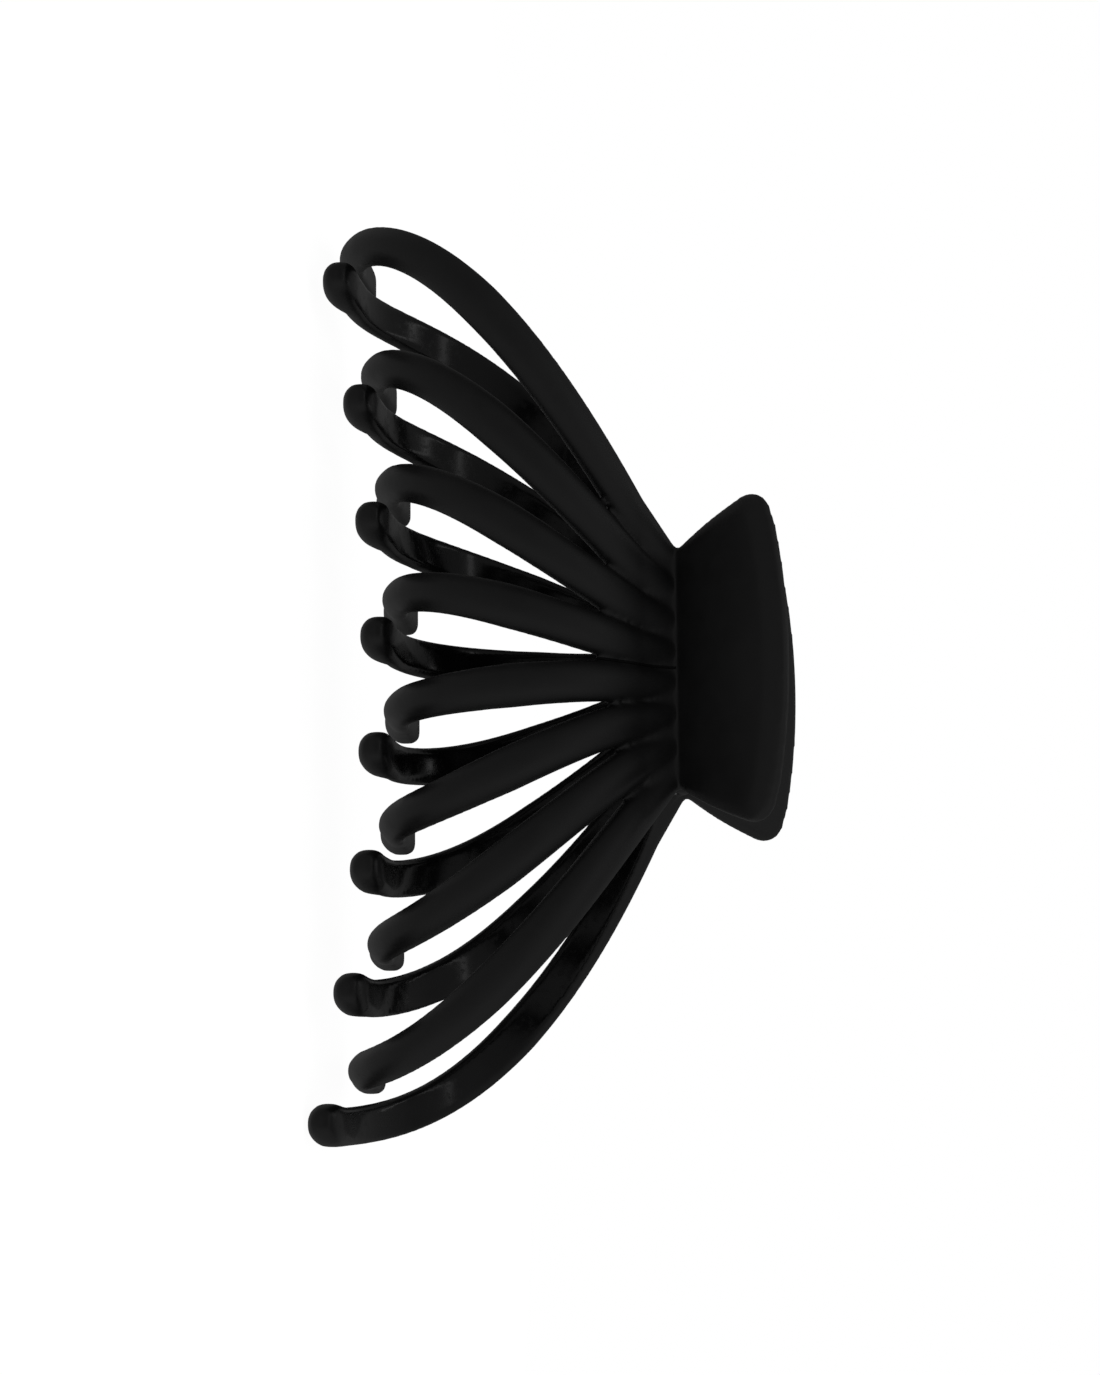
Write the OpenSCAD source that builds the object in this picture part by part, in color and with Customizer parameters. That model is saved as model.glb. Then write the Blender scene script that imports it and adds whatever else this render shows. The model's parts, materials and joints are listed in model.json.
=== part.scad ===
// Large open-tine claw clip for hair. Two identical combs of eight round-bent tines turn on a steel
// hinge pin, and a torsion spring between the thumb plates holds them shut.
// Millimetres. X runs along the hinge, -Y is the front comb, Z is up, and the tine tips rest on z = 0.

/* [Tines] */
// Depth of a tine at the middle of the clip, from the hinge axis to the middle of its tip
tine_depth = 33.8; // [28:0.1:42]
// Extra depth per square millimetre of distance along the hinge
depth_growth = 0.002; // [0:0.0005:0.004]
// Spacing of the tine tips at the middle of the comb
tip_pitch = 14; // [11:0.1:16]
// How much the tip spacing opens towards the ends of the comb
tip_spread = 0.0034; // [0:0.0002:0.01]
// Sideways shift of each comb's tips, a quarter of the spacing, so that the two combs interleave
tip_shift = 3.3; // [3:0.1:3.8]
// Spacing of the tines where they leave the hinge
root_pitch = 3.85; // [3.4:0.05:4.4]
// How much the root spacing opens towards the ends of the comb
root_spread = 0.0125; // [0:0.0005:0.02]
// Lean of a tine at its root, outwards from straight down, in degrees
root_lean = 63.5; // [45:0.5:70]
// Distance of the tine's centre line from the middle plane at its root
root_out = 5.1; // [4.5:0.1:7]
// Length of the straight tip that crosses below the other comb
tip_length = 10; // [4:0.5:12]
// Width of a tine at the root
root_width = 4.7; // [3.5:0.1:5.2]
// Width of a tine at the middle of its bend
tine_width = 5.1; // [4:0.1:6]
// Width of a tine where its bend ends
bend_width = 4.4; // [3.5:0.1:5.5]
// Width of the tip
tip_width = 4.8; // [3.5:0.1:5.5]
// Thickness of a tine
tine_thick = 2.95; // [2.4:0.05:4]
// Thickness of the tip, which is fuller on its underside than the tine
tip_thick = 4.2; // [3:0.1:4.6]
// Corner radius on the outside of a tine
outer_round = 1.4; // [0.5:0.1:1.8]
// Corner radius on the inside of a tine
inner_round = 0.5; // [0.2:0.1:1.2]
// Rounding of the outer edges at the tip, where the tine ends like a bullet
tip_round = 1.8; // [0.8:0.1:2.2]

/* [Thumb plates] */
// Lean of the plate, outwards from straight up, in degrees
plate_lean = 43.5; // [25:0.5:50]
// Thickness of the plate
plate_thick = 2.2; // [1.6:0.1:3]
// Width of the plate at the hinge
plate_root_width = 29.5; // [26:0.5:32]
// Width of the plate at its outer corners
plate_width = 39; // [32:0.2:42]
// Length of the plate from the hinge crease to its corners
plate_side = 14.1; // [10:0.1:18]
// How far the outer edge bows out past the corners
plate_bow = 3.1; // [0:0.1:5]
// Radius of the outer corners
plate_corner = 3.2; // [1:0.1:5]

/* [Hinge] */
// Radius of the hinge pin
pin_r = 0.9; // [0.7:0.05:1.2]
// Running clearance of the pin in the rear comb's knuckles
pin_clear = 0.05; // [0.02:0.01:0.1]
// Outer radius of the knuckles
knuckle_r = 2.6; // [2:0.1:3]
// Distance from the middle plane to the outside of the hinge crease
crease_y = 5.6; // [4.5:0.1:6.5]
// Height of the hinge crease above the hinge axis
crease_z = 1.5; // [1:0.1:2]
// Length of each knuckle
knuckle_len = 4.7; // [4:0.1:5]
// Gap between neighbouring knuckles
knuckle_gap = 0.3; // [0.2:0.05:0.5]

/* [Spring] */
// Radius of the spring wire
wire_r = 0.55; // [0.4:0.05:0.7]
// Radius of the coil, to the middle of the wire
coil_r = 1.95; // [1.7:0.05:2.2]
// Turns of the coil, not counting its last half turn
coil_turns = 6; // [4:1:6]
// Spacing of the turns
coil_pitch = 1.2; // [1.15:0.05:1.3]
// Length of each leg along its thumb plate
leg_len = 9; // [6:0.5:11]

/* [Hidden] */
$fn = 64;

root_z = -1.6;          // height of the tine's centre line at its root
split_z = -7.8;          // level where the tines have come apart and leave the root
wall_z = -2.2;           // bottom of the hinge wall
arc_steps = 22;          // rings round the bend
fade_deg = 45;           // bend over which the level first ring turns square to the tine
end_round = 2.6;         // rounding of the tip's end

// Places along a comb, tine k = 1 to 8, in the front comb.
function mid(k) = k - 4.5;
function tip_x(k) = tip_pitch * mid(k) * (1 + tip_spread * mid(k) * mid(k)) - tip_shift;
function root_x(k) = root_pitch * mid(k) * (1 + root_spread * mid(k) * mid(k));
function depth(k) = tine_depth + depth_growth * tip_x(k) * tip_x(k);
function bend_r(k) = (depth(k) + root_z) / (1 + sin(root_lean));
hinge_height = depth(1) + tip_thick - tine_thick / 2;

// The plan of a tine: it leaves the root at one slope and straightens towards the tip.
function slope_root(k) = 0.88 + 0.072 * mid(k) * mid(k);
function slope_tip(k) = 0.48 - 0.029 * mid(k) * mid(k);
function plan(a, b, w) = a * w + (3 - 2 * a - b) * w * w + (a + b - 2) * w * w * w;

// Centre line at heading h, in degrees outwards from straight down. The bend is one arc.
function arc_z(k, h) = root_z - bend_r(k) * (sin(root_lean) - sin(h));
function arc_out(k, h) = root_out + bend_r(k) * (cos(h) - cos(root_lean));
function done(k, h) = (root_z - arc_z(k, h)) / (depth(k) + root_z);
function arc_x(k, h) = root_x(k)
    + (tip_x(k) - root_x(k)) * plan(slope_root(k), slope_tip(k), done(k, h));
function arc_point(k, h) = [arc_x(k, h), -arc_out(k, h), arc_z(k, h)];
function heading_at(k, z) = asin(sin(root_lean) - (root_z - z) / bend_r(k));

function unit(v) = v / norm(v);
function blade_width(w) = lookup(w, [[0, root_width], [0.5, tine_width], [1, bend_width]]);

// Section of a tine: [along the width, towards the outside], round outside and tighter inside.
function corner(cx, cy, r, from, n) = [for (i = [0:n]) let (a = from + 90 * i / n)
    [cx + r * cos(a), cy + r * sin(a)]];
function section(w, t, ro, ri) = concat(
    corner(w / 2 - ro, t / 2 - ro, ro, 0, 3), corner(-w / 2 + ro, t / 2 - ro, ro, 90, 3),
    corner(-w / 2 + ri, -t / 2 + ri, ri, 180, 2), corner(w / 2 - ri, -t / 2 + ri, ri, 270, 2));

// A ring of the section at point p, heading h, running along t. level = 1 makes the ring level.
function ring(p, t, h, sec, level) =
    let (side = unit(cross(t, [0, -cos(h), sin(h)])), out = cross(side, t))
    [for (s = sec) let (v = s[0] * side + s[1] * out)
        p + v - (level > 0 ? level * v[2] / t[2] * t : [0, 0, 0])];

function run(k, h) = unit(arc_point(k, h - 0.5) - arc_point(k, h + 0.5));
function arc_ring(k, h, level) = ring(arc_point(k, h), run(k, h), h,
    section(blade_width(done(k, h)), tine_thick, outer_round, inner_round), level);
// Ring of the tip, d along it, full = 0 to 1 as it fills out downwards, f = scale towards its end
function tip_ring(k, d, full, f) = let (thick = tine_thick + full * (tip_thick - tine_thick))
    ring(arc_point(k, -90) + [0, d, (tine_thick - thick) / 2], [0, 1, 0], -90,
        f * section(bend_width + full * (tip_width - bend_width), thick,
            outer_round + full * (tip_round - outer_round), inner_round + full * 0.4), 0);

function tine_rings(k) = let (h0 = heading_at(k, split_z)) concat(
    [for (i = [0:arc_steps - 1]) let (h = h0 - (h0 + 90) * i / arc_steps)
        arc_ring(k, h, max(0, 1 - (h0 - h) / fade_deg))],
    [for (d = [0, 0.15, 0.3, 0.45, 0.6]) tip_ring(k, d * tip_length, (1 - cos(300 * d)) / 2, 1)],
    [for (a = [0, 24, 46, 64, 78, 88]) tip_ring(k, tip_length - end_round * (1 - sin(a)),
        1, 1 - 0.52 * (1 - cos(a)))]);

module sweep(rings) {
    n = len(rings[0]);
    m = len(rings);
    polyhedron(
        points = [for (r = rings) each r],
        faces = concat(
            [[for (j = [0:n - 1]) n - 1 - j]],
            [for (i = [0:m - 2], j = [0:n - 1]) let (a = i * n + j, b = i * n + (j + 1) % n)
                each [[a, b, a + n], [b, b + n, a + n]]],
            [[for (j = [0:n - 1]) (m - 1) * n + j]]),
        convexity = 6);
}

module comb_tine(k) {
    sweep(tine_rings(k));
}

// One rib between two levels of the root, where its sections lie level.
module level_section(k, z) {
    h = heading_at(k, z);
    translate([0, 0, z]) linear_extrude(height = 0.001)
        polygon([for (p = arc_ring(k, h, 1)) [p[0], p[1]]]);
}

module comb_root() {
    for (k = [1:8], z = [[wall_z, -5], [-5, split_z]])
        hull() {
            translate([0, 0, -0.001]) level_section(k, z[0]);
            level_section(k, z[1]);
        }
}

// The hinge wall under the crease, and the two knuckles with their bore.
module comb_hinge(bore_r) {
    inner_y = crease_y - plate_thick / cos(plate_lean);
    low = arc_ring(8, heading_at(8, wall_z), 1);
    low_in = -max([for (p = low) p[1]]);
    low_out = -min([for (p = low) p[1]]);
    low_x = max([for (p = low) p[0]]);
    reach = plate_root_width / 2;
    difference() {
        union() {
            hull() {
                translate([-reach, -crease_y, crease_z - 0.01]) cube([2 * reach, crease_y - inner_y, 0.01]);
                translate([-low_x, -low_out + 0.2, wall_z]) cube([2 * low_x, low_out - low_in - 0.2, 0.01]);
            }
            for (x = [-reach, reach - 2 * knuckle_len - knuckle_gap]) {
                translate([x, 0, 0]) rotate([0, 90, 0]) cylinder(h = knuckle_len, r = knuckle_r);
                translate([x, -inner_y - 0.4, -1.9]) cube([knuckle_len, inner_y + 0.4, 1.9 + crease_z - 0.1]);
            }
        }
        translate([-reach - 1, 0, 0]) rotate([0, 90, 0]) cylinder(h = 2 * reach + 2, r = bore_r);
    }
}

// Thumb plate outline, from below the crease to the bowed outer edge.
function bow_y(x) = plate_side + plate_bow * (1 - pow(2 * x / plate_width, 2));
module plate_outline(inset) {
    half = plate_width / 2 - inset;
    flare = (plate_width - plate_root_width) / 2 / plate_side;
    c = plate_corner - inset;
    hull() {
        for (s = [-1, 1]) {
            translate([s * (half - c), plate_side - c + 0.6]) circle(r = c, $fn = 48);
            translate([s * (plate_root_width / 2 - inset - 0.05 + flare * -3), -3]) circle(r = 0.05, $fn = 8);
        }
        polygon([for (i = [-8:8]) let (x = i * (half - c) / 8) [x, bow_y(x) - inset]]);
    }
}

module comb_plate() {
    difference() {
        translate([0, -crease_y, crease_z]) rotate([90 + plate_lean, 0, 0])
            hull() {
                translate([0, 0, -plate_thick]) linear_extrude(height = 0.01) plate_outline(0.6);
                translate([0, 0, -plate_thick + 0.6]) linear_extrude(height = plate_thick - 1.4) plate_outline(0);
                translate([0, 0, -0.01]) linear_extrude(height = 0.01) plate_outline(0.8);
            }
        translate([-40, -40, crease_z - 40]) cube([80, 80, 40]);
    }
}

// Spring: down the front leg, round the coil, up the rear leg.
spring_half = coil_pitch * (coil_turns + 0.5) / 2;
leg_dir = [0, -sin(plate_lean), cos(plate_lean)];
leg_bend = [-spring_half, -coil_r, 2];
function turned(p) = [-p[0], -p[1], p[2]];
front_leg = [leg_bend + leg_len * leg_dir, leg_bend + 0.5 * leg_len * leg_dir,
             leg_bend + 0.8 * leg_dir, leg_bend + [0, 0, -0.6]];
spring_path = concat(front_leg,
    [for (i = [0:16 * coil_turns + 8]) let (a = 180 + 22.5 * i)
        [-spring_half + coil_pitch * i / 16, coil_r * cos(a), coil_r * sin(a)]],
    [for (i = [3:-1:0]) turned(front_leg[i])]);

module spring_wire() {
    last = len(spring_path) - 1;
    sweep([for (i = [0:last]) let (
        t = unit(spring_path[min(i + 1, last)] - spring_path[max(i - 1, 0)]),
        u = unit([1, 0, 0] - t[0] * t), v = cross(t, u))
        [for (a = [0:36:324]) spring_path[i] + wire_r * (cos(a) * u + sin(a) * v)]]);
}

module front() { color([0.07, 0.07, 0.08]) translate([0, 0, hinge_height]) children(); }
module rear() { color([0.13, 0.13, 0.14]) translate([0, 0, hinge_height]) rotate([0, 0, 180]) children(); }

module front_plate() front() comb_plate();
module front_hinge() front() comb_hinge(pin_r);
module front_root() front() comb_root();
module front_tine_1() front() comb_tine(1);
module front_tine_2() front() comb_tine(2);
module front_tine_3() front() comb_tine(3);
module front_tine_4() front() comb_tine(4);
module front_tine_5() front() comb_tine(5);
module front_tine_6() front() comb_tine(6);
module front_tine_7() front() comb_tine(7);
module front_tine_8() front() comb_tine(8);
module rear_plate() rear() comb_plate();
module rear_hinge() rear() comb_hinge(pin_r + pin_clear);
module rear_root() rear() comb_root();
module rear_tine_1() rear() comb_tine(8);
module rear_tine_2() rear() comb_tine(7);
module rear_tine_3() rear() comb_tine(6);
module rear_tine_4() rear() comb_tine(5);
module rear_tine_5() rear() comb_tine(4);
module rear_tine_6() rear() comb_tine(3);
module rear_tine_7() rear() comb_tine(2);
module rear_tine_8() rear() comb_tine(1);

module hinge_pin() color([0.72, 0.72, 0.74])
    translate([-plate_root_width / 2, 0, hinge_height]) rotate([0, 90, 0])
        cylinder(h = plate_root_width, r = pin_r);

module torsion_spring() color([0.62, 0.62, 0.64]) translate([0, 0, hinge_height]) spring_wire();

front_plate();
front_hinge();
front_root();
front_tine_1();
front_tine_2();
front_tine_3();
front_tine_4();
front_tine_5();
front_tine_6();
front_tine_7();
front_tine_8();
rear_plate();
rear_hinge();
rear_root();
rear_tine_1();
rear_tine_2();
rear_tine_3();
rear_tine_4();
rear_tine_5();
rear_tine_6();
rear_tine_7();
rear_tine_8();
hinge_pin();
torsion_spring();
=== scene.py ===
"""A claw clip: two soft-touch plastic combs on a steel pin, sprung shut by a torsion spring.

Lengths inside the shape functions are millimetres measured from the hinge axis;
MM and HINGE_Z bring them into the shared frame in metres.
"""

import json
import math

import bpy
import numpy as np
from mathutils import Matrix, Vector, kdtree

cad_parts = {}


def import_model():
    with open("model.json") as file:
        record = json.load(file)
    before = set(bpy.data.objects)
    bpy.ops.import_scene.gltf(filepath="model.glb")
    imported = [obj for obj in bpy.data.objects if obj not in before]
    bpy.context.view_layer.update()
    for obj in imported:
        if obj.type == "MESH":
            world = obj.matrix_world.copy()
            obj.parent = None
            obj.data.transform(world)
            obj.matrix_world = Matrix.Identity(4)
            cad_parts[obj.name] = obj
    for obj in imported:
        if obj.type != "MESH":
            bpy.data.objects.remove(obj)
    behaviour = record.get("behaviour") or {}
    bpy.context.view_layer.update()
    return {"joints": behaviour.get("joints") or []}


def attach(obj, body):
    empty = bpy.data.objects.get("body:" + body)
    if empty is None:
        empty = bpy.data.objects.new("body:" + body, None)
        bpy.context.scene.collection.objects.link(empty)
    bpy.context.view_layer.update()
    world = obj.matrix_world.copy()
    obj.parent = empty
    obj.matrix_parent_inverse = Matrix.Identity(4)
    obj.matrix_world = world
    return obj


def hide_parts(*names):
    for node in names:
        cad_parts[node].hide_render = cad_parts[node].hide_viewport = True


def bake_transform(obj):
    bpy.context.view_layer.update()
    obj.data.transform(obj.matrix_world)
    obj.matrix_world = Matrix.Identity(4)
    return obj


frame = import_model()

MM = 0.001
HINGE_Z = next(j for j in frame["joints"] if j["name"] == "clip_hinge")["pos_m"][2]
SIDES = {"front_comb": 1, "rear_comb": -1}      # the rear comb is the front one turned half round

# ------------------------------------------------------------------ dimensions of one comb
TINES = 8
# tips and roots of the tines: spacing along the clip, how fast it grows outwards, and the tips' shift
TIP_PITCH, TIP_SPREAD, TIP_SHIFT = 14.0, 0.0034, 3.3
ROOT_PITCH, ROOT_SPREAD = 3.85, 0.0125
# where a centre line starts, and how far from straight down it heads there
ROOT_OUT, ROOT_Z, ROOT_LEAN = 5.1, -1.6, math.radians(63.5)
# drop of the centre line to the end of the bend, and its growth with the square of tip_x
DEPTH, DEPTH_GROWTH = 33.8, 0.002
# slope of the plan from root to tip, at either end: (for a middle tine, change with the square of mid)
ROOT_SLOPE, TIP_SLOPE = (0.88, 0.072), (0.48, -0.029)
# thickness at the root, where the bend ends and at the tip, and how far down the thickening starts
TINE_THICK, BEND_THICK, TIP_THICK, THICKEN_FROM = 2.95, 3.15, 4.2, 0.55
# width and outer rounding: (shares of the drop, values there)
WIDTH_AT, ROUND_AT = ([0, 0.5, 1], [4.65, 5.25, 4.55]), ([0, 0.5, 1], [1.35, 1.65, 1.8])
INNER_ROUND, CROWN = 0.75, 0.8
# the straight tip: swelling over the first share of its length, and turned a little sideways at its end
TIP_LENGTH, TIP_SWELL, TIP_TURN, TIP_STEP = 10.0, 0.6, 0.7, 0.4
TIP_WIDTH, TIP_ROUND, TIP_INNER = 4.95, 1.9, 1.3
# its rounded nose: length, and how much narrower and thinner it is at the very end
END_ROUND, END_NARROWS, END_THINS = 3.8, 3.7, 3.1
END_ANGLES = np.radians([0, 12, 24, 36, 47, 57, 66, 74, 81, 87])
# rings of the bend lie level down to SPLIT_Z, and turn square to the tine over the next FADE of heading
WALL_Z, SPLIT_Z, FADE = -2.2, -7.8, math.radians(45)
BEND_STEPS, NUDGE = 90, 0.01
CORNER_STEPS, FACE_STEPS, SIDE_STEPS = 6, 8, 4
# the thumb plate leans out from the crease; its sides flare and its outer edge is bowed
PLATE_LEAN, PLATE_THICK, PLATE_ROOT, PLATE_WIDE = math.radians(43.5), 2.2, 29.5, 39.0
PLATE_SIDE, PLATE_BOW, PLATE_CORNER, CORNER_RISE, PLATE_FOOT = 14.1, 3.1, 3.2, 0.6, -1.1
SIDE_BULGE, INNER_EDGE, DOME, DOME_MIDDLE = 0.35, 0.6, 0.12, (0, 6.5)
# the soft bevel round its outer face: width at the crease and outside, depth, and (share in, share down)
BEVEL_WIDE, BEVEL_DEEP = [1.0, 2.9], 1.15
BEVEL = [(0, 1), (0.01, 0.82), (0.05, 0.68), (0.13, 0.56), (0.3, 0.4),
         (0.5, 0.23), (0.68, 0.11), (0.84, 0.03), (1, 0)]
# the crease between plate and ribs, and the ribs, which draw together towards it
CREASE_Y, CREASE_Z, RIB_RECESS = 5.6, 1.5, 0.12
INNER_Y = CREASE_Y - PLATE_THICK / math.cos(PLATE_LEAN)
FOOT_X, SQUEEZE, SQUEEZE_GROWTH = 20.4, 0.83, 0.107
# the hinge wall, set back from the outermost rib so that the ribs stand proud of it
FACE_RECESS, WALL_ENDS, FOOT_IN, FOOT_OUT, FOOT_ENDS = 0.2, 0.5, 0.35, 1.7, 2.6
# the knuckles: round, but squared off where they meet the wall
KNUCKLE_R, KNUCKLE_LEN, KNUCKLE_GAP, KNUCKLE_EDGE, BORE_R = 2.6, 4.7, 0.3, 0.35, 1.02
KNUCKLE_SINK, KNUCKLE_TOP, KNUCKLE_LOW, KNUCKLE_POINTS = 0.6, 1.35, -1.9, 72
# the pin: its chamfer passes through PIN_CORNER (along, inwards), and PIN_HUB is the radius of the end's middle
PIN_R, PIN_CHAMFER, PIN_CORNER, PIN_HUB, PIN_COLLAR = 0.9, 0.18, (0.06, 0.07), 0.35, 1
# the torsion spring; its last half turn brings the wire round to the other plate
WIRE_R, COIL_R, COIL_TURNS, COIL_PITCH, LEG = 0.55, 1.95, 6.5, 1.2, 9.0
LEG_Z, LEG_DROP, TURN_STEPS, WIRE_STEP, WIRE_POINTS = 2.0, 0.6, 24, 0.2, 20
WIRE_END = ([0.0, 0.04, 0.12, 0.25, 0.4], [0.3, 0.62, 0.84, 0.97, 1.0])     # from the end, share of the radius
# the skin of the moulding: voxel size, rounds of smoothing, and the bend that counts as a full edge
VOXEL, RELAX_ROUNDS, FACING_ROUNDS, SHARP = 0.355, 8, 4, 0.049
# how near a tine's ring a vertex must be to belong to it, and what "to_end" says elsewhere
NEAR_TINE, OFF_TINE = 1.6, 99.0
# the slit between the two middle ribs: half width, where its edge has faded, and its lean per millimetre down
SLIT_HALF, SLIT_FADED, SLIT_LEAN = 0.06, 0.2, 0.07
# where it ends: (attribute, value where it is gone, value where it is full)
SLIT_ENDS = (("comb_z", -8.6, -8.2), ("comb_z", 1.35, 1.2), ("comb_y", -2.5, -3.0))


# ------------------------------------------------------------------ shape of one tine
def mid(k):
    """How far tine k is from the middle of the clip, in tines."""
    return k - (TINES + 1) / 2


def tip_x(k):
    return TIP_PITCH * mid(k) * (1 + TIP_SPREAD * mid(k) ** 2) - TIP_SHIFT


def root_x(k):
    return ROOT_PITCH * mid(k) * (1 + ROOT_SPREAD * mid(k) ** 2)


def depth(k):
    return DEPTH + DEPTH_GROWTH * tip_x(k) ** 2


def bend_r(k):
    return (depth(k) + ROOT_Z) / (1 + math.sin(ROOT_LEAN))


def arc(k, h):
    """Point on the centre line where it heads h from straight down, and how much of the drop is done."""
    z = ROOT_Z - bend_r(k) * (math.sin(ROOT_LEAN) - math.sin(h))
    out = ROOT_OUT + bend_r(k) * (math.cos(h) - math.cos(ROOT_LEAN))
    w = (ROOT_Z - z) / (depth(k) + ROOT_Z)
    a, b = (slope + change * mid(k) ** 2 for slope, change in (ROOT_SLOPE, TIP_SLOPE))
    plan = a * w + (3 - 2 * a - b) * w ** 2 + (a + b - 2) * w ** 3
    return np.array([root_x(k) + (tip_x(k) - root_x(k)) * plan, -out, z]), w


def heading_at(k, z):
    """Heading of tine k's centre line at height z."""
    return math.asin(math.sin(ROOT_LEAN) - (ROOT_Z - z) / bend_r(k))


def unit(v):
    return v / np.linalg.norm(v)


def section(w, t, round_out, round_in=INNER_ROUND, crown=0.0):
    """Rounded section as (across, out) pairs, anticlockwise. crown lowers the sides of the outer face."""
    def corner(cx, cy, r, start):
        a = np.radians(start + 90 * np.arange(CORNER_STEPS + 1) / CORNER_STEPS)
        return np.stack([cx + r * np.cos(a), cy + r * np.sin(a)], 1)

    def edge(x0, y0, x1, y1, steps):
        s = (np.arange(1, steps) / steps)[:, None]
        return np.array([[x0, y0]]) * (1 - s) + np.array([[x1, y1]]) * s

    hw, ht = w / 2, t / 2
    pts = np.concatenate([
        corner(hw - round_out, ht - round_out, round_out, 0),
        edge(hw - round_out, ht, -hw + round_out, ht, FACE_STEPS),
        corner(-hw + round_out, ht - round_out, round_out, 90),
        edge(-hw, ht - round_out, -hw, -ht + round_in, SIDE_STEPS),
        corner(-hw + round_in, -ht + round_in, round_in, 180),
        edge(-hw + round_in, -ht, hw - round_in, -ht, FACE_STEPS),
        corner(hw - round_in, -ht + round_in, round_in, 270),
        edge(hw, -ht + round_in, hw, ht - round_out, SIDE_STEPS),
    ])
    pts[:, 1] -= crown * (pts[:, 0] / hw) ** 2 * np.clip(pts[:, 1] / ht, 0, 1)
    return pts


def ring(p, t, h, sec, level=0.0):
    """The section round p, square to the direction t, or slid along t until it lies level (level 1)."""
    side = unit(np.cross(t, [0, -math.cos(h), math.sin(h)]))
    out = np.cross(side, t)
    v = sec[:, :1] * side + sec[:, 1:] * out
    if level > 0:
        v = v - level * (v[:, 2:] / t[2]) * t
    return p + v


def arc_ring(k, h):
    """Ring of tine k where it heads h. It thickens outwards, so that its inner face stays on the arc."""
    p, w = arc(k, h)
    ahead, behind = arc(k, max(h - NUDGE, -math.pi / 2 - NUDGE))[0], arc(k, h + NUDGE)[0]
    level = min(1.0, max(0.0, 1 - (heading_at(k, SPLIT_Z) - h) / FADE))
    thick = TINE_THICK + (BEND_THICK - TINE_THICK) * max(0, (w - THICKEN_FROM) / (1 - THICKEN_FROM)) ** 2
    sec = section(np.interp(w, *WIDTH_AT), thick, np.interp(w, *ROUND_AT), crown=CROWN)
    return ring(p, unit(ahead - behind), h, sec + [0, (thick - TINE_THICK) / 2], level)


def tip_ring(end, d, sec, thick):
    """Ring of the straight tip, d past the end of the bend, set where a tip this thick has its middle."""
    place = end + [TIP_TURN * (d / TIP_LENGTH) ** 2, d, (TINE_THICK - thick) / 2]
    return ring(place, np.array([0, 1.0, 0]), -math.pi / 2, sec)


def tip_rings(end):
    """Rings of the straight tip and its rounded nose, and how far past the bend each one is."""
    rings, past, straight = [], [], TIP_LENGTH - END_ROUND
    bend_wide, bend_round = WIDTH_AT[1][-1], ROUND_AT[1][-1]
    for d in np.arange(TIP_STEP, straight, TIP_STEP):
        full = (1 - math.cos(math.pi * min(1.0, d / (TIP_SWELL * TIP_LENGTH)))) / 2
        thick = BEND_THICK + full * (TIP_THICK - BEND_THICK)
        sec = section(bend_wide + full * (TIP_WIDTH - bend_wide), thick, bend_round + full * (TIP_ROUND - bend_round),
                      INNER_ROUND + full * (TIP_INNER - INNER_ROUND), crown=CROWN * (1 - 0.5 * full))
        rings.append(tip_ring(end, d, sec, thick))
        past.append(d)
    for a in END_ANGLES:
        d, turned = straight + END_ROUND * math.sin(a), 1 - math.cos(a)
        thick = TIP_THICK - END_THINS * turned
        less = thick / TIP_THICK
        sec = section(TIP_WIDTH - END_NARROWS * turned, thick, TIP_ROUND * less, TIP_INNER * less,
                      crown=CROWN / 2 * less)
        rings.append(tip_ring(end, d, sec, TIP_THICK))
        past.append(d)
    return rings, past


def crease_x(x):
    """Where a point of the wall's foot ends up at the crease, with the outer ribs squeezed together."""
    return x * (SQUEEZE - SQUEEZE_GROWTH * (x / FOOT_X) ** 2)


def rib_rings(foot):
    """Level rings of one rib, from the crease down to just above its ring at the wall's foot."""
    low_in, low_out = -foot[:, 1].max(), -foot[:, 1].min()
    share = (-foot[:, 1] - low_in) / (low_out - low_in)
    top = np.stack([crease_x(foot[:, 0]), -(INNER_Y + share * (CREASE_Y - RIB_RECESS - INNER_Y)),
                    np.full(len(foot), CREASE_Z)], 1)
    return [foot + u * (top - foot) for u in (1, 0.85, 0.7, 0.55, 0.4, 0.25, 0.12)]


def tine_rings(k):
    """Rings of one tine from the crease to the rounded nose, and how far before the end each one is."""
    start = heading_at(k, WALL_Z)
    headings = [start - (start + math.pi / 2) * i / BEND_STEPS for i in range(BEND_STEPS + 1)]
    centres = np.array([arc(k, h)[0] for h in headings])
    bend = [arc_ring(k, h) for h in headings]
    ribs, (tip, past) = rib_rings(bend[0]), tip_rings(centres[-1])
    run = np.concatenate([[0], np.cumsum(np.linalg.norm(np.diff(centres, axis=0), axis=1))])
    along = np.concatenate([np.zeros(len(ribs)), run, run[-1] + np.array(past)])
    return ribs + bend + tip, along[-1] - along


def quads(n, m, closed=False):
    """Faces between m loops of n points, and from the last loop back to the first if closed."""
    return [(i * n + j, i * n + (j + 1) % n, (i + 1) % m * n + (j + 1) % n, (i + 1) % m * n + j)
            for i in range(m if closed else m - 1) for j in range(n)]


def sweep(rings):
    """Closed quad tube through the rings, ends closed with a fan."""
    n, m = len(rings[0]), len(rings)
    pts = np.concatenate([*rings, [rings[0].mean(0)], [rings[-1].mean(0)]])
    faces = quads(n, m) + [((j + 1) % n, j, m * n) for j in range(n)]
    faces += [((m - 1) * n + j, (m - 1) * n + (j + 1) % n, m * n + 1) for j in range(n)]
    return pts, faces


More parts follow.
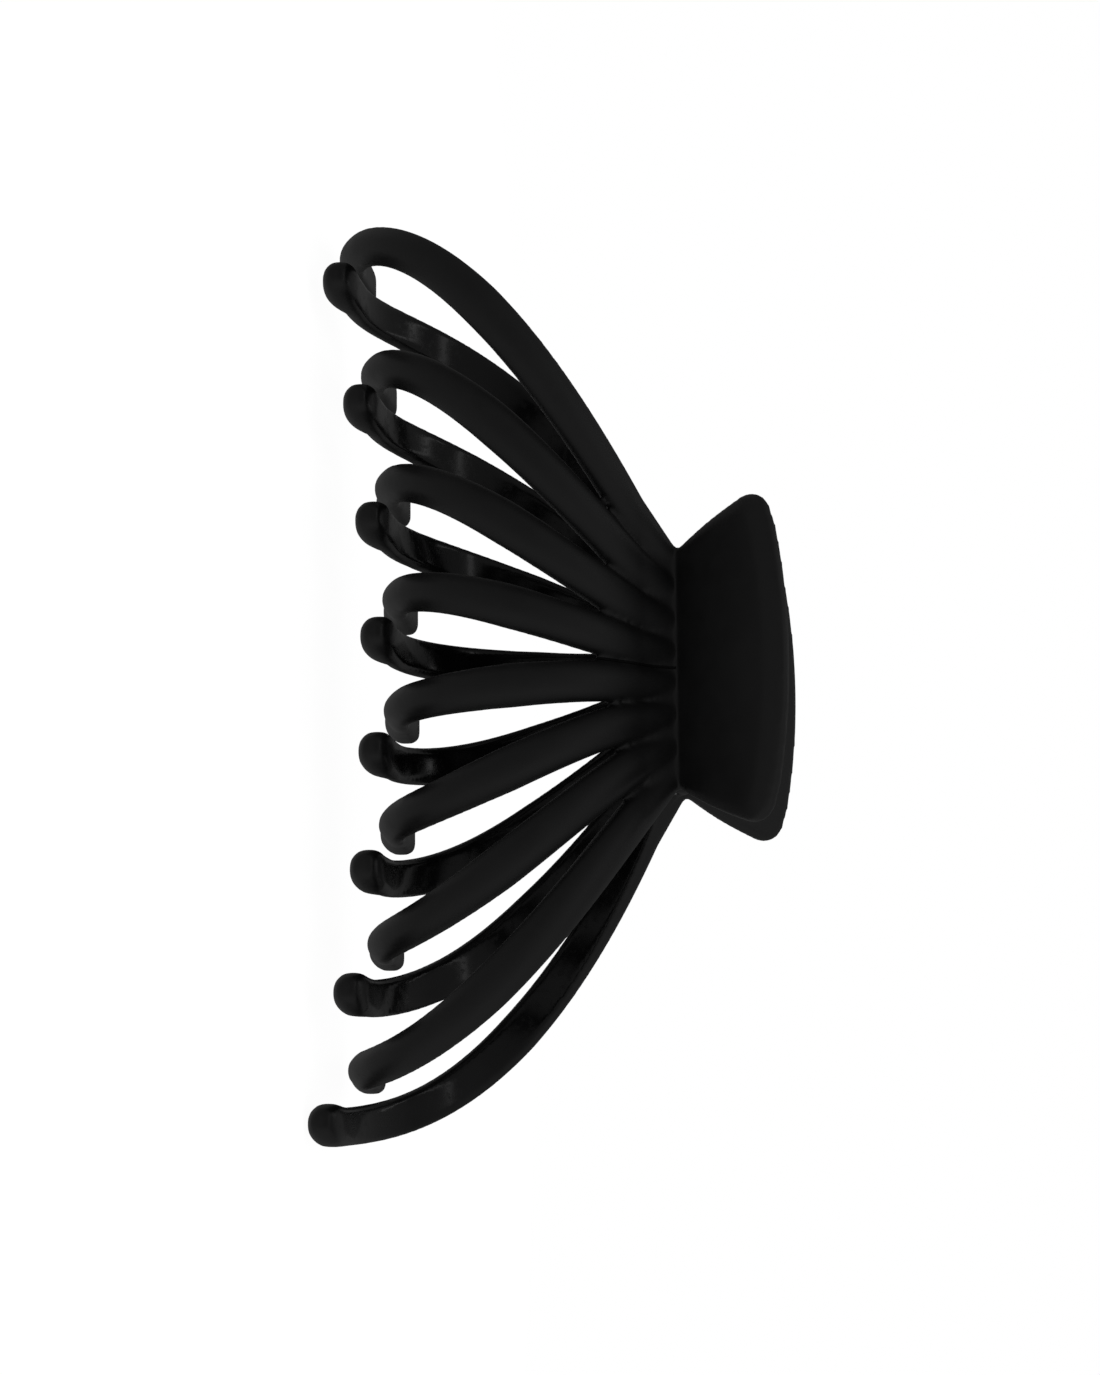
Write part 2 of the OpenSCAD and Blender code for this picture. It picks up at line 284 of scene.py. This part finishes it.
# ------------------------------------------------------------------ hinge wall, knuckles and plate
def wall_shape():
    """The hinge wall, from the crease down to the height where the tines' rings start."""
    low = arc_ring(TINES, heading_at(TINES, WALL_Z))
    low_in, low_out = -low[:, 1].max() + FOOT_IN, -low[:, 1].min() - FOOT_OUT
    low_x, end, face_y = low[:, 0].max() - FOOT_ENDS, PLATE_ROOT / 2 - WALL_ENDS, CREASE_Y - FACE_RECESS
    top = [(-end, -face_y), (end, -face_y), (end, -INNER_Y), (-end, -INNER_Y)]
    foot = [(-low_x, -low_out), (low_x, -low_out), (low_x, -low_in), (-low_x, -low_in)]
    wall = np.array([(x, y, WALL_Z) for x, y in foot] + [(x, y, CREASE_Z) for x, y in top])
    return wall, [(3, 2, 1, 0), (4, 5, 6, 7), (0, 1, 5, 4), (1, 2, 6, 5), (2, 3, 7, 6), (3, 0, 4, 7)]


def knuckle_shape(x0):
    """A bored knuckle from x0 on, round where it is free and squared off where it meets the wall."""
    a = np.linspace(0, 2 * math.pi, KNUCKLE_POINTS, endpoint=False)
    y, z = np.cos(a), np.sin(a)
    with np.errstate(divide="ignore"):
        behind = np.where(y < 0, (-INNER_Y - KNUCKLE_SINK) / y, 0)
        block = np.minimum(behind, np.where(z > 0, KNUCKLE_TOP / z, np.where(z < 0, KNUCKLE_LOW / z, np.inf)))
    full, x1 = np.maximum(KNUCKLE_R, block), x0 + KNUCKLE_LEN
    profile = ((x0, BORE_R), (x0, full - KNUCKLE_EDGE), (x0 + KNUCKLE_EDGE, full),
               (x1 - KNUCKLE_EDGE, full), (x1, full - KNUCKLE_EDGE), (x1, BORE_R))
    loops = [np.stack([np.full_like(a, x), r * y, r * z], 1) for x, r in profile]
    return np.concatenate(loops), quads(len(a), len(loops), closed=True)


def plate_outline(side_steps=16, edge_points=18):
    """Plan of the thumb plate, from below the crease round the corners and the bowed outer edge."""
    half, c = PLATE_WIDE / 2, PLATE_CORNER
    flare = (PLATE_WIDE - PLATE_ROOT) / 2 / PLATE_SIDE
    cx, cy = half - c, PLATE_SIDE - c + CORNER_RISE
    slope = -math.atan(flare)
    outwards = np.array([math.cos(slope), math.sin(slope)])
    foot = np.array([PLATE_ROOT / 2 + flare * PLATE_FOOT, PLATE_FOOT])
    first = np.array([cx, cy]) + c * outwards
    right = [foot + t * (first - foot) + SIDE_BULGE * math.sin(math.pi * t) * outwards
             for t in np.arange(side_steps) / side_steps]
    last = math.atan2(1, 8 * PLATE_BOW * cx / PLATE_WIDE ** 2)
    right += [np.array([cx + c * math.cos(a), cy + c * math.sin(a)]) for a in np.linspace(slope, last, side_steps)]
    right += [np.array([x, PLATE_SIDE + PLATE_BOW * (1 - (x / half) ** 2)])
              for x in np.linspace(cx, 0, edge_points)[1:]]
    return np.array(right + [p * [-1, 1] for p in right[:-1][::-1]])


def plate_shape():
    """The thumb plate: its outline inset round both edges, with a broad soft bevel round the outer face."""
    outline = plate_outline()
    step, back = np.roll(outline, -1, 0) - outline, outline - np.roll(outline, 1, 0)
    along = step / np.linalg.norm(step, axis=1)[:, None] + back / np.linalg.norm(back, axis=1)[:, None]
    along /= np.linalg.norm(along, axis=1)[:, None]
    inward = np.stack([-along[:, 1], along[:, 0]], 1)
    broad = np.interp(outline[:, 1], [0, PLATE_SIDE - 2], BEVEL_WIDE)[:, None]
    rings = [(INNER_EDGE * (1 - math.cos(a)), -PLATE_THICK + INNER_EDGE * (1 - math.sin(a)))
             for a in np.radians(np.linspace(90, 0, 6))]
    rings += [(broad * inset, -BEVEL_DEEP * drop) for inset, drop in BEVEL]
    pts = [np.concatenate([outline + inward * inset, np.full((len(outline), 1), z)], 1) for inset, z in rings]
    centre, rim = np.array(DOME_MIDDLE), outline + inward * broad
    for share in (0.9, 0.75, 0.55, 0.3, 0.1):
        rise = np.full((len(rim), 1), DOME * (1 - share ** 2))
        pts.append(np.concatenate([centre + (rim - centre) * share, rise], 1))
    verts, faces = sweep(pts)
    lean = math.pi / 2 + PLATE_LEAN
    x, y, z = verts.T
    return np.stack([x, y * math.cos(lean) - z * math.sin(lean) - CREASE_Y,
                     y * math.sin(lean) + z * math.cos(lean) + CREASE_Z], 1), faces


# ------------------------------------------------------------------ mesh tools
def new_object(name, verts, faces):
    mesh = bpy.data.meshes.new(name)
    mesh.from_pydata(np.asarray(verts).tolist(), [], faces)
    mesh.update()
    obj = bpy.data.objects.new(name, mesh)
    bpy.context.scene.collection.objects.link(obj)
    return obj


def read(items, key, width, kind=float):
    """One property of all the vertices or edges, as rows."""
    values = np.zeros(len(items) * width, kind)
    items.foreach_get(key, values)
    return values.reshape(-1, width)


def shade_smooth(mesh, mat):
    """Smooth shading all over, in one material."""
    mesh.polygons.foreach_set("use_smooth", [True] * len(mesh.polygons))
    mesh.materials.clear()
    mesh.materials.append(mat)
    mesh.update()


class Neighbours:
    """Means over the vertices that each vertex shares an edge with."""

    def __init__(self, mesh):
        self.edges = read(mesh.edges, "vertices", 2, int)
        self.count = np.bincount(self.edges.ravel(), minlength=len(mesh.vertices)).astype(float)

    def mean(self, values):
        if values.ndim == 1:
            return self.mean(values[:, None])[:, 0]
        (a, b), total = self.edges.T, np.zeros_like(values)
        for c in range(values.shape[1]):
            total[:, c] = np.bincount(a, values[b, c], len(values)) + np.bincount(b, values[a, c], len(values))
        return total / self.count[:, None]

    def relax(self, co, rounds, shrink=0.5, grow=-0.52):
        """Smooths without losing volume, by shrinking and growing in turn."""
        for _ in range(rounds):
            for step in (shrink, grow):
                co = co + step * (self.mean(co) - co)
        return co


# ------------------------------------------------------------------ the moulded comb, made once in millimetres
def one_skin(shapes):
    """One continuous mesh round all the shapes, relaxed so that the places where they meet are filleted."""
    verts, faces, base = [], [], 0
    for pts, its_faces in shapes:
        verts.append(pts)
        faces += [tuple(i + base for i in f) for f in its_faces]
        base += len(pts)
    obj = new_object("comb_raw", np.concatenate(verts), faces)
    remesh = obj.modifiers.new("voxel", "REMESH")
    remesh.mode, remesh.voxel_size, remesh.adaptivity = "VOXEL", VOXEL, 0.0
    mesh = bpy.data.meshes.new_from_object(obj.evaluated_get(bpy.context.evaluated_depsgraph_get()))
    bpy.data.objects.remove(obj)
    near = Neighbours(mesh)
    co = near.relax(read(mesh.vertices, "co", 3), RELAX_ROUNDS)
    mesh.vertices.foreach_set("co", co.ravel())
    mesh.update()
    return mesh, co, near


def facing_of_section():
    """For each point of a section: 0 on the outer face, 1 on the inner face and its corners, 0.5 on the sides."""
    wide, rounding, side_from, inner_below, inner_to = 5, 1.4, 2.2, -1.2, 2.3
    across, out = section(wide, TINE_THICK, rounding).T
    facing = np.where(out > 0, 0.0, 1.0)
    facing[np.abs(across) > side_from] = 0.5
    facing[(out < inner_below) & (np.abs(across) < inner_to)] = 1.0
    return facing


def surface_values(mesh, co, near, tines):
    """What the plastic needs to know at each vertex: mostly from the nearest point of the tines' rings."""
    facing, samples, data = facing_of_section(), [], []
    for rings, to_end in tines:
        for points, left in zip(rings[::2], to_end[::2]):
            samples.append(points)
            data.append(np.stack([facing, np.full(len(points), left)], 1))
    samples, data = np.concatenate(samples), np.concatenate(data)
    tree = kdtree.KDTree(len(samples))
    for i, p in enumerate(samples):
        tree.insert(p, i)
    tree.balance()
    found = [tree.find(p)[1:] for p in co]
    nearest, away = data[[f[0] for f in found]], np.array([f[1] for f in found])
    on_tine = (away < NEAR_TINE) & (co[:, 2] < WALL_Z)
    facing_in = np.where(on_tine, nearest[:, 0], np.where(co[:, 2] > WALL_Z, 0.0, 0.5))
    for _ in range(FACING_ROUNDS):
        facing_in = near.mean(facing_in)
    bent = ((co - near.mean(co)) * read(mesh.vertices, "normal", 3)).sum(1)
    return {
        "facing_in": facing_in,
        "to_end": np.where(on_tine, nearest[:, 1], OFF_TINE),
        "edge": np.clip(near.mean(near.mean(bent)) / SHARP, -1, 1),
        "comb_x": co[:, 0], "comb_y": co[:, 1], "comb_z": co[:, 2],
    }


def moulded_comb():
    """Tines, root, hinge wall, knuckles and plate as one moulding, and the millimetres of its vertices."""
    tines = [tine_rings(k) for k in range(1, TINES + 1)]
    shapes = [sweep(rings) for rings, _ in tines] + [wall_shape()]
    for x0 in (-PLATE_ROOT / 2, PLATE_ROOT / 2 - 2 * KNUCKLE_LEN - KNUCKLE_GAP):
        shapes.append(knuckle_shape(x0))
    mesh, co, near = one_skin(shapes + [plate_shape()])
    for name, values in surface_values(mesh, co, near, tines).items():
        mesh.attributes.new(name, "FLOAT", "POINT").data.foreach_set("value", np.asarray(values, np.float32))
    return mesh, co


def placed(side, co):
    """From a comb's own millimetres to the shared frame, in metres."""
    return co * [side * MM, side * MM, MM] + [0, 0, HINGE_Z]


# ------------------------------------------------------------------ pin and spring
def pin_shape(n=64):
    """The pin as a solid of revolution about X through (x, radius) pairs."""
    half, (inset, drop) = PLATE_ROOT / 2, PIN_CORNER
    profile = [(-half, PIN_HUB), (-half, PIN_R - PIN_CHAMFER), (-half + inset, PIN_R - drop),
               (-half + PIN_CHAMFER, PIN_R), (-half + PIN_COLLAR, PIN_R)]
    profile += [(-x, r) for x, r in profile[::-1]]
    a = np.linspace(0, 2 * math.pi, n, endpoint=False)
    return sweep([np.stack([np.full(n, x), -r * np.cos(a), r * np.sin(a)], 1) for x, r in profile])


def smooth_line(points, closeness):
    """Points about `closeness` apart on a Catmull-Rom curve through the given points."""
    p = [2 * points[0] - points[1], *points, 2 * points[-1] - points[-2]]
    out = []
    for a, b, c, d in zip(p, p[1:], p[2:], p[3:]):
        steps = max(2, int(np.linalg.norm(c - b) / closeness))
        for t in np.arange(steps) / steps:
            out.append(0.5 * (2 * b + (c - a) * t + (2 * a - 5 * b + 4 * c - d) * t ** 2
                              + (3 * b - a - 3 * c + d) * t ** 3))
    return np.array(out + [points[-1]])


def spring_line():
    """Centre line of the wire: down inside one plate, round the pin, and up inside the other plate."""
    half = COIL_PITCH * COIL_TURNS / 2
    lean = np.array([0, -math.sin(PLATE_LEAN), math.cos(PLATE_LEAN)])
    bend = np.array([-half, -COIL_R, LEG_Z])
    leg = [bend + share * LEG * lean for share in (1, 0.75, 0.5, 0.25, 0.09)] + [bend + [0, 0, -LEG_DROP]]
    coil = []
    for t in np.linspace(0, COIL_TURNS, int(TURN_STEPS * COIL_TURNS) + 1):
        a = 2 * math.pi * t
        coil.append(np.array([-half + COIL_PITCH * t, -COIL_R * math.cos(a), -COIL_R * math.sin(a)]))
    return smooth_line(leg + coil + [p * [-1, -1, 1] for p in leg[::-1]], WIRE_STEP)


def spring_shape():
    """The wire swept along its centre line, with rounded ends."""
    line, rings = spring_line(), []
    a = np.linspace(0, 2 * math.pi, WIRE_POINTS, endpoint=False)
    travelled = np.concatenate([[0], np.cumsum(np.linalg.norm(np.diff(line, axis=0), axis=1))])
    for i, p in enumerate(line):
        t = unit(line[min(i + 1, len(line) - 1)] - line[max(i - 1, 0)])
        u = unit(np.array([1.0, 0, 0]) - t[0] * t)
        v = np.cross(t, u)
        r = WIRE_R * np.interp(min(travelled[i], travelled[-1] - travelled[i]), *WIRE_END)
        rings.append(p + r * (np.cos(a)[:, None] * u + np.sin(a)[:, None] * v))
    return sweep(rings)


# ------------------------------------------------------------------ materials
class Tree:
    """A node tree, with a short method for each kind of node that the materials and the world use."""

    def __init__(self, owner):
        owner.use_nodes = True
        self.nodes, self.links = owner.node_tree.nodes, owner.node_tree.links

    def feed(self, value, socket):
        """Sets the socket to a number or a colour, or links an output to it."""
        if isinstance(value, (int, float)):
            socket.default_value = value
        elif isinstance(value, tuple):
            socket.default_value = (*value, 1)
        else:
            self.links.new(value, socket)

    def place(self, kind="Object"):
        node = self.nodes.get("place") or self.nodes.new("ShaderNodeTexCoord")
        node.name = "place"
        return node.outputs[kind]

    def attribute(self, name):
        node = self.nodes.new("ShaderNodeAttribute")
        node.attribute_name = name
        return node.outputs["Fac"]

    def noise(self, scale, detail, roughness, vector=None):
        node = self.nodes.new("ShaderNodeTexNoise")
        for key, value in (("Scale", scale), ("Detail", detail), ("Roughness", roughness)):
            node.inputs[key].default_value = value
        self.links.new(self.place() if vector is None else vector, node.inputs["Vector"])
        return node.outputs["Fac"]

    def remap(self, value, low, high, to_low=0, to_high=1):
        node = self.nodes.new("ShaderNodeMapRange")
        for key, v in zip(("Value", "From Min", "From Max", "To Min", "To Max"), (value, low, high, to_low, to_high)):
            self.feed(v, node.inputs[key])
        return node.outputs["Result"]

    def maths(self, kind, a, b=0.0):
        node = self.nodes.new("ShaderNodeMath")
        node.operation = kind
        self.feed(a, node.inputs[0])
        self.feed(b, node.inputs[1])
        return node.outputs[0]

    def plus(self, a, b):
        return self.maths("ADD", a, b)

    def minus(self, a, b):
        return self.maths("SUBTRACT", a, b)

    def times(self, a, b):
        return self.maths("MULTIPLY", a, b)

    def mix(self, factor, a, b):
        """Mixes two colours."""
        node = self.nodes.new("ShaderNodeMix")
        node.data_type = "RGBA"
        self.feed(factor, node.inputs["Factor"])
        for key, value in (("A", a), ("B", b)):
            self.feed(value, next(s for s in node.inputs if s.name == key and s.type == "RGBA"))
        return next(s for s in node.outputs if s.type == "RGBA")

    def bump(self, layers):
        """Chains (height, strength, distance in metres) layers into one normal."""
        normal = None
        for height, strength, distance in layers:
            node = self.nodes.new("ShaderNodeBump")
            node.inputs["Strength"].default_value = strength
            node.inputs["Distance"].default_value = distance
            self.feed(height, node.inputs["Height"])
            if normal is not None:
                self.feed(normal, node.inputs["Normal"])
            normal = node.outputs["Normal"]
        return normal


def material(name):
    """A new material, its tree, and the inputs of its shader."""
    mat = bpy.data.materials.new(name)
    tree = Tree(mat)
    return mat, tree, next(n for n in tree.nodes if n.type == "BSDF_PRINCIPLED").inputs


def middle_slit(t):
    """1 in the slit that runs from the middle notch up to the crease, between the fourth rib and the fifth."""
    drift = t.times(t.maths("MINIMUM", t.plus(t.attribute("comb_z"), -ROOT_Z), 0.0), SLIT_LEAN)
    off = t.maths("ABSOLUTE", t.minus(t.attribute("comb_x"), drift))
    slit = t.remap(off, SLIT_HALF, SLIT_FADED, 1, 0)
    for name, gone, full in SLIT_ENDS:
        slit = t.times(slit, t.remap(t.attribute(name), gone, full))
    return slit


def comb_plastic():
    """Near-black plastic: soft-touch and matte outside, smoother as it left the mould inside."""
    mat, t, shader = material("soft_touch_black")
    inside, rubbed_edge_and_highlight = t.remap(t.attribute("facing_in"), 0.55, 0.95), t.remap(t.attribute("edge"), 0.3, 1.0)
    cloudy, grain, waves = t.noise(260, 3, 0.6), t.noise(9000, 2, 0.6), t.noise(130, 1, 0.4)
    scuffs = t.times(t.remap(t.noise(1100, 4, 0.65), 0.52, 0.66), inside)
    slit, mottle = middle_slit(t), t.remap(cloudy, 0.35, 0.65)

    outer = t.mix(mottle, (0.0085, 0.0085, 0.0088), (0.0115, 0.0115, 0.0118))
    # convex edges are lighter: partly rubbed wear, partly a painted highlight along the ridges
    outer = t.mix(rubbed_edge_and_highlight, outer, (0.017, 0.017, 0.0172))
    inner = t.mix(mottle, (0.005, 0.005, 0.0052), (0.0075, 0.0075, 0.0078))
    t.feed(t.mix(inside, outer, inner), shader["Base Color"])

    rough_out = t.minus(t.remap(cloudy, 0.3, 0.7, 0.46, 0.54), t.times(rubbed_edge_and_highlight, 0.1))
    rough_in = t.plus(t.remap(cloudy, 0.3, 0.7, 0.13, 0.19), t.times(scuffs, 0.14))
    rough_in = t.plus(rough_in, t.remap(t.attribute("to_end"), 2, 6, 0.16, 0))
    t.feed(t.plus(t.times(rough_out, t.minus(1.0, inside)), t.times(rough_in, inside)), shader["Roughness"])

    shine = t.times(t.remap(inside, 0, 1, 0.4, 0.3), t.remap(slit, 0, 1, 1, 0.15))
    t.feed(shine, shader["Specular IOR Level"])
    layers = [(waves, 0.12, 0.0002), (t.minus(1.0, slit), 0.8, 0.0002), (grain, 0.06, 0.00002)]
    t.feed(t.bump(layers), shader["Normal"])
    return mat


def drawn_steel(name, tint, rough, scale):
    """Bright drawn wire with fine lengthwise lines and a little tarnish."""
    mat, t, shader = material(name)
    stretch = t.nodes.new("ShaderNodeMapping")
    stretch.inputs["Scale"].default_value = scale
    t.feed(t.place(), stretch.inputs["Vector"])
    lines, tarnish = t.noise(1.0, 3, 0.7, stretch.outputs["Vector"]), t.noise(700, 3, 0.6)
    t.feed(t.mix(t.remap(tarnish, 0.45, 0.75), tint, tuple(0.6 * c for c in tint)), shader["Base Color"])
    t.feed(t.remap(lines, 0.3, 0.7, rough - 0.07, rough + 0.1), shader["Roughness"])
    t.feed(t.bump([(lines, 0.2, 0.00001)]), shader["Normal"])
    shader["Metallic"].default_value = 1.0
    return mat


# ------------------------------------------------------------------ the pieces
COMB_NODES = ["plate", "hinge", "root"] + [f"tine_{k}" for k in range(1, TINES + 1)]
plastic = comb_plastic()
comb_mesh, comb_co = moulded_comb()
for body, side in SIDES.items():
    mesh = comb_mesh.copy()
    mesh.name = f"{body}_moulding"
    mesh.vertices.foreach_set("co", placed(side, comb_co).ravel())
    shade_smooth(mesh, plastic)
    comb = bpy.data.objects.new(f"{body}_moulding", mesh)
    bpy.context.scene.collection.objects.link(comb)
    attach(comb, body)
    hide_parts(*[f"{body.split('_')[0]}_{part}" for part in COMB_NODES])
bpy.data.meshes.remove(comb_mesh)


def steel_piece(name, shape, mat):
    """A smooth-shaded object from a shape in millimetres, brought into the shared frame."""
    obj = new_object(name, *shape)
    obj.data.vertices.foreach_set("co", placed(1, read(obj.data.vertices, "co", 3)).ravel())
    shade_smooth(obj.data, mat)
    return obj


pin = steel_piece("drawn_pin", pin_shape(), drawn_steel("pin_steel", (0.5, 0.5, 0.51), 0.28, (900, 9000, 9000)))
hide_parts("hinge_pin")
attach(pin, "front_comb")

wire = drawn_steel("spring_steel", (0.42, 0.42, 0.44), 0.3, (7000, 2500, 2500))
spring = steel_piece("wound_spring", spring_shape(), wire)
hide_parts("torsion_spring")
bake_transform(spring)

# ------------------------------------------------------------------ floor, light and camera
# what the surfaces reflect: AMBIENT, and (towards, cosine where it starts, cosine where it is full, strength)
AMBIENT = 0.001
LOBES = (
    ((0, 0, -1), 0.0, 0.6, 0.175),          # below: the floor's bounce
    ((0, -1, 0), 0.0, 0.8, 0.05),           # front
    ((0.8, -0.6, 0), 0.3, 0.95, 0.15),      # front right
    ((0, 0.7, -0.7), 0.3, 0.95, 0.1),       # behind, below
    ((0, -0.7, 0.7), 0.3, 0.95, 0.13),      # front, above
    ((0, 0.6, 0.8), 0.72, 1.0, 0.1),        # high behind, narrow
    ((0, 1, 0.2), 0.1, 0.9, 0.02),          # behind
    ((-1, 0, 0.6), 0.2, 0.95, 0.12),        # left
    ((1, 0, 0.6), 0.2, 0.95, 0.17),         # right
)
STRIP_SIZE, STRIP_WATTS, STRIP_AIM = (0.48, 0.05), 0.08, (0, 0, 0.03)
FLOOR_R, FLOOR_DROP, FLOOR_POINTS, FLOOR_GLOW = 0.22, 0.0001, 96, 0.96
# degrees round from the front, above level and of roll; metres; millimetres, the sensor being the picture's long side
AZIMUTH, ELEVATION, ROLL, DISTANCE, LENS, SENSOR = 8.482, 6.326, -1.4505, 0.33346, 70.921293, 36
TARGET = (0.0011935, 0, HINGE_Z - 0.0145863)


def floor():
    mat, _, shader = material("pale_floor")
    shader["Base Color"].default_value = (0.25, 0.25, 0.25, 1)
    shader["Roughness"].default_value = 0.9
    shader["Specular IOR Level"].default_value = 0.0
    shader["Emission Color"].default_value = (1, 1, 1, 1)
    shader["Emission Strength"].default_value = FLOOR_GLOW
    n, a = FLOOR_POINTS, np.linspace(0, 2 * math.pi, FLOOR_POINTS, endpoint=False)
    disc = np.stack([FLOOR_R * np.cos(a), FLOOR_R * np.sin(a), np.full(n, -FLOOR_DROP)], 1)
    obj = new_object("floor", disc, [tuple(range(n))])
    obj.data.materials.append(mat)
    obj.visible_glossy = obj.visible_diffuse = False     # its bounce is the lobe from below


def world():
    """White to the camera. What the surfaces reflect is a soft studio: dim behind, brighter below and at the sides."""
    bpy.context.scene.world = bpy.data.worlds.new("studio")
    t = Tree(bpy.context.scene.world)
    t.nodes.clear()
    total = AMBIENT
    for toward, low, high, strength in LOBES:
        dot = t.nodes.new("ShaderNodeVectorMath")
        dot.operation = "DOT_PRODUCT"
        dot.inputs[1].default_value = Vector(toward).normalized()
        t.feed(t.place("Generated"), dot.inputs[0])
        total = t.plus(t.remap(dot.outputs["Value"], low, high, 0, strength), total)
    reflected, seen = t.nodes.new("ShaderNodeBackground"), t.nodes.new("ShaderNodeBackground")
    for ground in (reflected, seen):
        ground.inputs["Color"].default_value = (1, 1, 1, 1)
    t.feed(total, reflected.inputs["Strength"])
    mix, path, out = (t.nodes.new(f"ShaderNode{kind}") for kind in ("MixShader", "LightPath", "OutputWorld"))
    for value, socket in zip((path.outputs["Is Camera Ray"], reflected.outputs[0], seen.outputs[0]), mix.inputs):
        t.feed(value, socket)
    t.feed(mix.outputs[0], out.inputs["Surface"])


def strip_light(name, place):
    """A long soft light, aimed at the middle of the clip."""
    light = bpy.data.lights.new(name, "AREA")
    light.shape, light.size, light.size_y, light.energy = "RECTANGLE", *STRIP_SIZE, STRIP_WATTS
    obj = bpy.data.objects.new(name, light)
    obj.location = place
    obj.rotation_euler = (Vector(place) - Vector(STRIP_AIM)).to_track_quat("Z", "Y").to_euler()
    bpy.context.scene.collection.objects.link(obj)


def camera():
    """The clip is upright in the frame and lies on its side in the picture, so the camera is turned a quarter."""
    a, e, r = map(math.radians, (AZIMUTH, ELEVATION, ROLL))
    back = Vector((math.sin(a) * math.cos(e), -math.cos(a) * math.cos(e), math.sin(e)))
    right = Vector((math.cos(a), math.sin(a), 0))
    up = back.cross(right)
    down_picture = right * math.cos(r) + up * math.sin(r)
    right_picture = -right * math.sin(r) + up * math.cos(r)
    cam = bpy.data.cameras.new("camera")
    cam.sensor_width, cam.lens, cam.clip_start, cam.clip_end = SENSOR, LENS, 0.01, 50
    obj = bpy.data.objects.new("camera", cam)
    bpy.context.scene.collection.objects.link(obj)
    turn = Matrix((right_picture, -down_picture, back)).transposed().to_4x4()
    obj.matrix_world = Matrix.Translation(Vector(TARGET) + back * DISTANCE) @ turn
    bpy.context.scene.camera = obj


floor()
world()
strip_light("strip_above", (-0.15, 0.12, 0.62))
strip_light("strip_front", (-0.15, -0.3, 0.55))
camera()
bpy.context.scene.view_settings.view_transform = "Standard"
bpy.context.scene.view_settings.look = "None"
